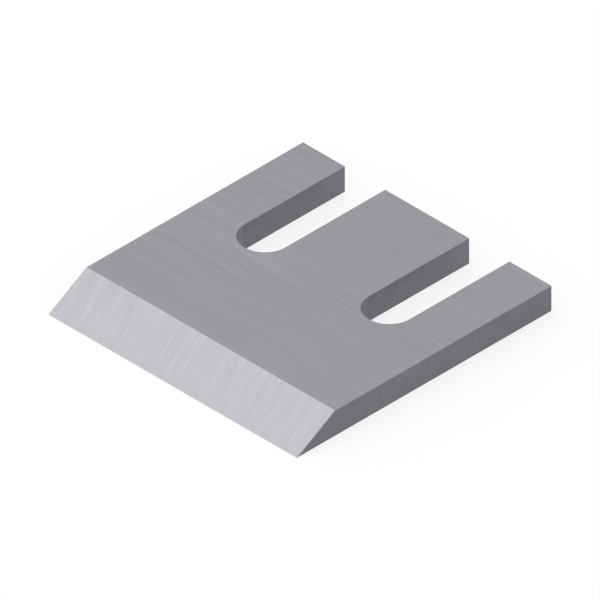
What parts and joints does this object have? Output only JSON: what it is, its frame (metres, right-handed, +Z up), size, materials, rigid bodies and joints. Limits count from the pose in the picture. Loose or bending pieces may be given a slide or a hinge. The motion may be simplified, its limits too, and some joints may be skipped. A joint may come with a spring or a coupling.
{
  "type": "shredder blade",
  "caption": "Flat steel shredder blade: a plate with one ground cutting bevel along its front edge and bolt slots that open at the rear, clamped to a knife holder.",
  "frame": {"origin": "middle of the underside's bounding rectangle, on the face that the blade lies and seats on", "axes": "+Z up out of the top face, +X along the cutting edge, +Y from the cutting edge towards the open ends of the slots"},
  "size_m": [0.124, 0.127, 0.011],
  "materials": {
    "ground_steel": "satin ground faces, brighter freshly ground bevel, darker milled sides and slot walls"
  },
  "bodies": {
    "root": {"blade": "ground_steel"}
  },
  "joints": []
}
